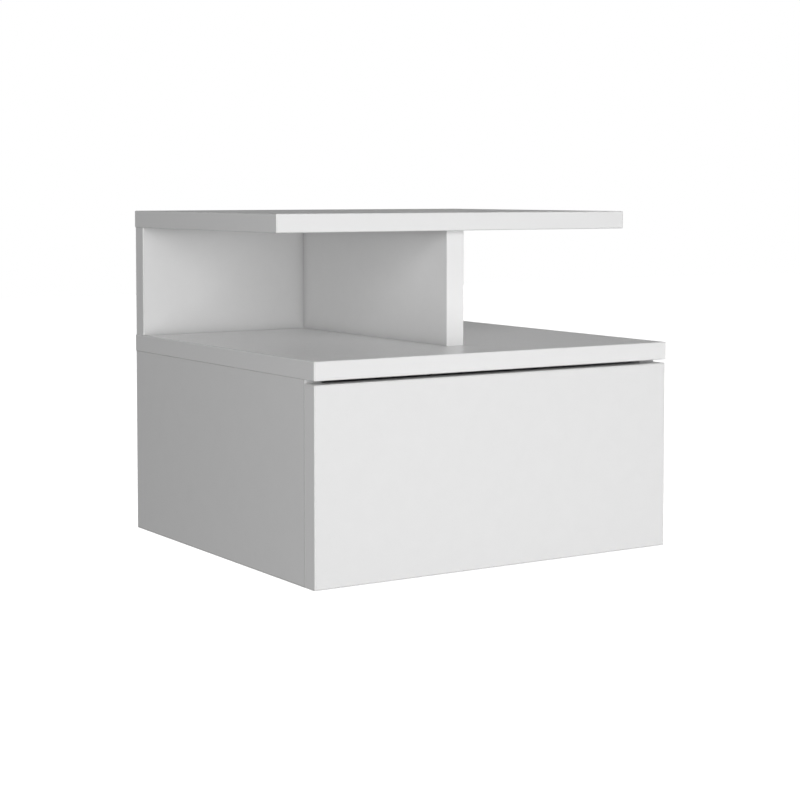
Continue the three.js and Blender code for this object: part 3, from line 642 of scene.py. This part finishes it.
# Cam lock: a drum of two discs joined by a spiral wall, with a cross and a raised arrow that
# points to the bolt. Its own z axis runs from its face into the board, x towards the bolt, and
# the wall runs from one angle to another, in degrees from the bolt.
cam = {
    "face": {"radius": 7.2, "round": 0.35, "drop": 0.0,
             "recess": {"reach": 4.5, "half": 0.85, "taper": 0.75, "depth": 2.0}},
    "faceDisc": 3.7,
    "faceBevel": 0.2,
    "rearDisc": (10.7, 12.2),
    "rearBevel": 0.3,
    "wall": {"outer": 7.2, "inner": (3.6, 5.6), "from": 32, "to": 328, "steps": 60},
    "arrow": {"tip": 6.2, "base": 5.1, "half": 0.8, "lift": 0.2, "sunk": 0.1},
}


def camSolids(cam, columns=72):
    angles = crossAngles(cam["face"]["recess"], columns)
    outer, face, bevel = cam["face"]["radius"], cam["faceDisc"], cam["faceBevel"]
    rim = profile([(outer, face - bevel), (outer - bevel, face), (0, face)])
    disc = turnedParts([headRows(cam["face"], angles), rim], angles)
    (near, far), bevel = cam["rearDisc"], cam["rearBevel"]
    plate = profile([(0, near), (outer, near), (outer, far - bevel), (outer - bevel, far), (0, far)])
    plate = turnedParts([plate], angles)
    # the wall's inner radius grows evenly with the angle, which is what draws the bolt in
    wall = cam["wall"]
    turn = np.radians(np.linspace(wall["from"], wall["to"], wall["steps"]))[:, None]
    share = (turn - turn[0]) / (turn[-1] - turn[0])
    inner = wall["inner"][0] + (wall["inner"][1] - wall["inner"][0]) * share
    radius = np.hstack([inner, wall["outer"] + 0 * turn, wall["outer"] + 0 * turn, inner])
    height = np.array([near, near, face, face]) + 0 * radius
    spiral = sweptSolid(np.stack([radius * np.cos(turn), radius * np.sin(turn), height], -1))
    # the arrow is a triangle from just inside the face to a little over it
    arrow = cam["arrow"]
    outline = np.array([(arrow["base"], -arrow["half"]), (arrow["tip"], 0), (arrow["base"], arrow["half"])])
    layers = np.array([[-arrow["lift"]], [arrow["sunk"]]])
    x, y = (part + 0 * layers for part in outline.T)
    prism = np.stack([x, y, layers + 0 * x], -1)
    return [disc, plate, spiral, sweptSolid(prism)]


# Roller: hub with a seat for the rivet's head, six moulded ribs on each face, slightly
# crowned rim. Its own z axis runs from the web's side to the side with the seat.
roller = {
    "section": [(2.3, 0), (4.3, 0), (4.6, 0.25), (4.7, 0.9), (6.7, 0.9), (6.9, 0.25), (7.2, 0),
                (7.95, 0), (8.3, 0.15), (8.45, 0.6), (8.5, 1.6), (8.5, 4.4), (8.45, 5.4),
                (8.3, 5.85), (7.95, 6), (7.2, 6), (6.9, 5.75), (6.7, 5.1), (5.0, 5.1),
                (4.85, 5.75), (4.7, 6), (4.0, 6), (4.0, 4.4), (2.3, 4.4)],
    "middle": 3.0,
    "ring": (4.65, 5.8, 6.95),  # inner, mean and outer radius of the rings that the ribs cross
    "ringFloor": 2.5,  # a ring's floor is nearer than this to the middle
    "ribs": 6,
    "ribHalf": 0.5,
    "ribSlope": 0.2,
    "ribDrop": 0.15,
}


def rollerSolid(roller, columns=144):
    # the floor of each face's ring rises to a rib wherever the arc from the rib's middle is
    # less than its half width: clip((half width + slope - arc) / slope, 0, 1) of the way
    angles = evenAngles(columns)
    radii, heights = (part + 0 * angles for part in profile(roller["section"]))
    inner, mean, outer = roller["ring"]
    middle, slope = roller["middle"], roller["ribSlope"]
    turn = np.abs((angles * roller["ribs"] / (2 * pi) + 0.5) % 1 - 0.5) * 2 * pi / roller["ribs"]
    rib = np.clip((roller["ribHalf"] + slope - turn * mean) / slope, 0, 1)
    raised = middle + np.sign(heights - middle) * (middle - roller["ribDrop"])
    inRing = (radii > inner) & (radii < outer) & (np.abs(heights - middle) < roller["ringFloor"])
    heights = np.where(inRing, heights + (raised - heights) * rib, heights)
    return ringSolid(turned(radii, heights, angles))


# Rivet: tail, collar that spaces the roller from the web, shaft, and a domed head in the seat
rivetShape = {
    "radius": 2.0,
    "tailBevel": (0.3, 0.2),  # across and along the rivet
    "sheet": 1.25,
    "collarRadius": 4.0,
    "collarBevel": 0.1,
    "rollerToHead": 5.0,
    "headRadius": 3.7,
    "headHeight": 1.0,
    "dome": [(1, 0), (1, 0.25), (0.93, 0.55), (0.75, 0.8), (0.4, 0.96), (0, 1)],
}


def rivetSolid(rivet, length, columns=40):
    # a profile from the tail to the crown; the dome's pairs are shares of the head's radius
    # and height
    headStart = length - rivet["headHeight"]
    collarEnd = headStart - rivet["rollerToHead"]
    shaft, collar, sheet = rivet["radius"], rivet["collarRadius"], rivet["sheet"]
    (inwards, upwards), bevel = rivet["tailBevel"], rivet["collarBevel"]
    pairs = [(0, 0), (shaft - inwards, 0), (shaft, upwards), (shaft, sheet), (collar, sheet),
             (collar, collarEnd - bevel), (collar - bevel, collarEnd), (shaft, collarEnd),
             (shaft, headStart)]
    pairs += [(out * rivet["headRadius"], headStart + rise * rivet["headHeight"])
              for out, rise in rivet["dome"]]
    return turnedParts([profile(pairs)], evenAngles(columns))


# Runners: one sheet each, bent twice and deburred. A section follows the sheet's middle line
# from the edge of its lower flange, up the web, to the edge of its upper flange.
runner = {
    "sheet": 1.25,
    "bend": 1.0,  # radius of the middle line
    "bendSteps": 6,
    "deburr": 0.2,
    "lowerFlange": {"cabinet": 10.0, "drawer": 13.25},  # width over the web
    "notch": 23.75,  # at the cabinet's front, where the roller takes the upper flange's place
    "lug": {"fromFront": 39.47, "depth": 3.3, "round": 0.9, "rooted": 0.4},
}


def bentSection(corners, half, runner):
    # each bend is an arc: centre + bend (u sin t - v cos t), where u and v are the directions
    # before and after it; the two faces lie half a sheet to either side of the line
    corners = np.array(corners, float)
    legs = np.diff(corners, axis=0)
    legs /= np.linalg.norm(legs, axis=1)[:, None]
    turn = np.linspace(0, pi / 2, runner["bendSteps"])[:, None]
    ends = runner["deburr"] * legs[0], -runner["deburr"] * legs[-1]
    middle, travel = [corners[0], corners[0] + ends[0]], [legs[0], legs[0]]
    for corner, u, v in zip(corners[1:-1], legs, legs[1:]):
        centre = corner + runner["bend"] * (v - u)
        middle += list(centre + runner["bend"] * (u * np.sin(turn) - v * np.cos(turn)))
        travel += list(u * np.cos(turn) + v * np.sin(turn))
    middle = np.array(middle + [corners[-1] + ends[1], corners[-1]])
    travel = np.array(travel + [legs[-1]] * 2)
    aside = np.stack([-travel[:, 1], travel[:, 0]], -1) * half
    aside[[0, -1]] *= 1 - runner["deburr"] / half
    loop = np.vstack([middle + aside, (middle - aside)[::-1]])
    # kept counterclockwise, by the sign of the loop's area
    area = np.sum(loop[:, 0] * np.roll(loop[:, 1], -1) - np.roll(loop[:, 0], -1) * loop[:, 1])
    return loop if area > 0 else loop[::-1]


def runnerSolid(end, sign, low, high, runner):
    # the section at each place along y, thinner by the deburring at both ends; sign mirrors x,
    # so that left and right stand for the inner and outer side of either runner
    half, deburr = runner["sheet"] / 2, runner["deburr"]
    left, right = (low[0], high[0]) if sign > 0 else (-high[0], -low[0])
    web = right - half if end == "cabinet" else left + runner["lowerFlange"][end] - half
    lower = (left, low[2] + half)
    upper = (left if end == "cabinet" else right, high[2] - half)
    corners = [(sign * x, z) for x, z in (lower, (web, lower[1]), (web, upper[1]), upper)]
    full, thin = (bentSection(corners, part, runner) for part in (half, half - deburr))
    sections, places = [thin, full, full, thin], [low[1], low[1] + deburr, high[1] - deburr, high[1]]
    if end == "cabinet":
        # in front of the notch the upper flange is drawn back into the web
        notched = []
        for section in (thin, full, full):
            x, z = section.T
            inFlange = (z > upper[1] - half - runner["bend"]) & (sign * x < web - half)
            notched.append(np.stack([np.where(inFlange, sign * (web - half), x), z], -1))
        sections = notched + [full, full, thin]
        places = places[:2] + [low[1] + runner["notch"]] * 2 + places[2:]
    grid = np.array([np.insert(section, 1, place, axis=1) for section, place in zip(sections, places)])
    return sweptSolid(grid[::-1])


def lugSolid(sign, low, high, runner):
    # a tab pressed down from the upper flange; each lower corner is a quarter circle, round (1 -
    # cos t) in from its side and round sin t down, or with sine and cosine changed over
    lug, sheet = runner["lug"], runner["sheet"]
    inner, outer = (low[0], high[0] - sheet) if sign > 0 else (high[0], low[0] + sheet)
    ceiling = high[2] - sheet
    root = [ceiling + lug["rooted"]]
    turn = np.linspace(0, pi / 2, runner["bendSteps"])
    cosine, sine = np.cos(turn), np.sin(turn)
    reach = sign * lug["round"]
    below = ceiling - lug["depth"] + lug["round"]
    x = np.concatenate([[inner], inner + reach * (1 - cosine), outer - reach * (1 - sine), [outer]])
    z = np.concatenate([root, below - lug["round"] * sine, below - lug["round"] * cosine, root])
    section = np.stack([x, z], -1)[::int(sign)]
    places = low[1] + lug["fromFront"] + np.array([sheet, 0])
    return sweptSolid(np.array([np.insert(section, 1, place, axis=1) for place in places]))


sides = {"left": -1, "right": 1}
for side, sign in sides.items():
    for end in ("cabinet", "drawer"):
        node = "%s_runner_%s" % (end, side)
        low, high = (np.array(corner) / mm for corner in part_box(node))
        solids = [runnerSolid(end, sign, low, high, runner)]
        if end == "cabinet":
            solids.append(lugSolid(sign, low, high, runner))
        piece = addPiece(node + "_bent", solids, coated, nodes[node]["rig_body"], (node,))
        weld = piece.modifiers.new("weld", "WELD")
        weld.merge_threshold = 0.001 * mm
print("runners bent")

# The fittings, each from the node that it stands in for
for node in nodes:
    side = "left" if "_left" in node else "right"
    if node.startswith(("divider_screw", "back_panel_screw")):
        along, across = up, outward["right"]
        seat, length = seatOf(node, along)
        solids, finish, slotName = [screwSolid(cabinetScrew, length)], plated, "zinc_plated_steel"
    elif node.startswith("runner_screw"):
        along, across = outward[side], up
        seat, length = seatOf(node, along)
        solids, finish, slotName = [screwSolid(runnerScrew, length)], plated, "zinc_plated_steel"
    elif "rivet" in node:
        along, across = (inward if node.startswith("cabinet") else outward)[side], up
        seat, length = seatOf(node, along)
        solids, finish, slotName = [rivetSolid(rivetShape, length)], plated, "zinc_plated_steel"
    elif "roller_" in node:
        along, across = (inward if node.startswith("cabinet") else outward)[side], up
        seat, length = seatOf(node, along)
        solids, finish, slotName = [rollerSolid(roller)], moulded[node.split("_")[0]], "nylon"
    elif "_cam" in node:
        face, bolt = camDirections(node, side)
        if "bolt" in node:
            along, across = -np.array(bolt), face
            seat, length = seatOf(node, along)
            solids, finish, slotName = [camBoltSolid(camBolt)], plated, "zinc_plated_steel"
        else:
            along, across = face, bolt
            seat, length = seatOf(node, along)
            solids, finish, slotName = camSolids(cam), zinc, "die_cast_zinc"
    else:
        continue
    solids = [placed(solid, seat, along, across) for solid in solids]
    addPiece(node + "_shaped", solids, finish, nodes[node]["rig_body"], (node,))

# Pan-head screws: three hold each drawer runner to the drawer's side, and two on each side
# hold the drawer's back
for side, sign in sides.items():
    for place, (y, z) in enumerate(panScrew["runner"] + panScrew["back"]):
        low, high = (np.array(corner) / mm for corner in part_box("drawer_%s_side" % side))
        face = (high if sign > 0 else low)[0]
        onRunner = place < len(panScrew["runner"])
        proud = panScrew["sheet"] * onRunner + panScrew["height"]
        length = panScrew["length"] if onRunner else panScrew["backLength"]
        solid = placed(screwSolid(panScrew, length), (face + sign * proud, y, z), inward[side], up)
        name = "drawer_%s_screw_%s_%d" % ("runner" if onRunner else "back", side, place)
        addPiece(name, [solid], plated, nodes["drawer_%s_side" % side]["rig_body"])
print("fittings shaped")


# Camera, solved from the edges in the photograph
view = {
    "place": (-0.86557, -1.52683, 0.17342),
    "turn": -32.55,  # degrees from +Y, to the right
    "tilt": -3.245,
    "focal": 1857.8,  # pixels
    "centre": (400.75, 295.92),  # pixels from the left and the upper edge of the frame
    "frame": 800,  # pixels, square
    "sensor": 36,  # mm
    "clip": (0.05, 60),
}
cameraData = bpy.data.cameras.new("camera")
cameraData.sensor_width = view["sensor"]
cameraData.lens = view["focal"] / view["frame"] * cameraData.sensor_width
cameraData.shift_x = (view["frame"] / 2 - view["centre"][0]) / view["frame"]
cameraData.shift_y = (view["centre"][1] - view["frame"] / 2) / view["frame"]
cameraData.clip_start, cameraData.clip_end = view["clip"]
camera = bpy.data.objects.new("camera", cameraData)
camera.location = view["place"]
camera.rotation_euler = (radians(90 + view["tilt"]), 0, radians(view["turn"]))
bpy.context.scene.collection.objects.link(camera)
bpy.context.scene.camera = camera


# Soft studio light: large panels that face the object, each with its place, size in metres and
# power in watts. A matt one doesn't show in what the surfaces mirror.
panels = {
    "front": {"place": (0.0, -3.0, 0.3), "size": (2.6, 2.0), "power": 13.4},
    "cameraSide": {"place": (-1.9, -2.6, 0.8), "size": (1.6, 1.6), "power": 31.5},
    "frontHigh": {"place": (0.0, -2.6, 1.4), "size": (2.2, 1.0), "power": 12.4},
    "frontLeftLow": {"place": (-1.9, -2.6, -0.6), "size": (1.4, 1.2), "power": 16.8},
    "frontRightLow": {"place": (2.0, -2.6, -0.5), "size": (1.4, 1.2), "power": 10.7},
    "over": {"place": (0.0, -0.3, 3.0), "size": (2.4, 2.4), "power": 4.9},
    "behindRight": {"place": (2.2, 2.0, 0.9), "size": (1.6, 1.2), "power": 51.0, "matt": True},
}
aim = np.array([0.0, -0.16, 0.02])
for name, panel in panels.items():
    light = bpy.data.lights.new(name, "AREA")
    light.shape = "RECTANGLE"
    light.size, light.size_y = panel["size"]
    light.energy = panel["power"]
    lamp = bpy.data.objects.new(name, light)
    towards = aim - np.array(panel["place"])
    lamp.location = panel["place"]
    lamp.rotation_euler = Vector(towards).to_track_quat("-Z", "Y").to_euler()
    lamp.visible_camera = False
    lamp.visible_glossy = not panel.get("matt", False)
    bpy.context.scene.collection.objects.link(lamp)

# The world is white where the camera sees past the object, and dim as a light
backdrop = {"seen": 1.0, "asLight": 0.17}
world = bpy.data.worlds.new("studio")
world.use_nodes = True
tree = world.node_tree
tree.nodes.clear()
seen = addNode(tree, "LightPath").outputs["Is Camera Ray"]
white = addNode(tree, "Background", {"Strength": backdrop["seen"]})
dim = addNode(tree, "Background", {"Strength": backdrop["asLight"]})
for background in (white, dim):
    background.inputs["Color"].default_value = (1, 1, 1, 1)
mixed = addNode(tree, "MixShader", {0: seen, 1: dim.outputs[0], 2: white.outputs[0]})
tree.links.new(mixed.outputs[0], addNode(tree, "OutputWorld").inputs[0])
bpy.context.scene.world = world
bpy.context.scene.view_settings.view_transform = "Standard"

# Pale floor, well under the hanging cabinet, as white as the paper sweep of a studio
sweep = {
    "height": -1.45,
    "half": 25.0,
    "colour": "#f4f4f3",
    "fibre": 2.5 * mm,
    "roughness": 0.9,
    "glow": 1.0,
}
corners = np.array([[-1, -1, 0], [1, -1, 0], [1, 1, 0], [-1, 1, 0]]) * sweep["half"]
corners[:, 2] = sweep["height"]
floorMesh = bpy.data.meshes.new("floor")
floorMesh.from_pydata(corners.tolist(), [], [(0, 1, 2, 3)])
floor = bpy.data.objects.new("floor", floorMesh)
bpy.context.scene.collection.objects.link(floor)
paper, tree, place, output = newFinish("sweepPaper")
fibre = addNode(tree, "TexNoise", {"Vector": place, "Scale": 1 / sweep["fibre"]}).outputs["Fac"]
colour = addNode(tree, "Mix", {"Factor": fibre, 6: toLinear(sweep["colour"]), 7: (1, 1, 1, 1)},
                 data_type="RGBA").outputs[2]
shader = addNode(tree, "BsdfPrincipled", {"Base Color": colour, "Roughness": sweep["roughness"],
                                          "Emission Color": (1, 1, 1, 1),
                                          "Emission Strength": sweep["glow"]})
tree.links.new(shader.outputs[0], output.inputs[0])
paint(floor, paper)
floor.visible_diffuse = floor.visible_glossy = False
print("camera, lights and floor set")
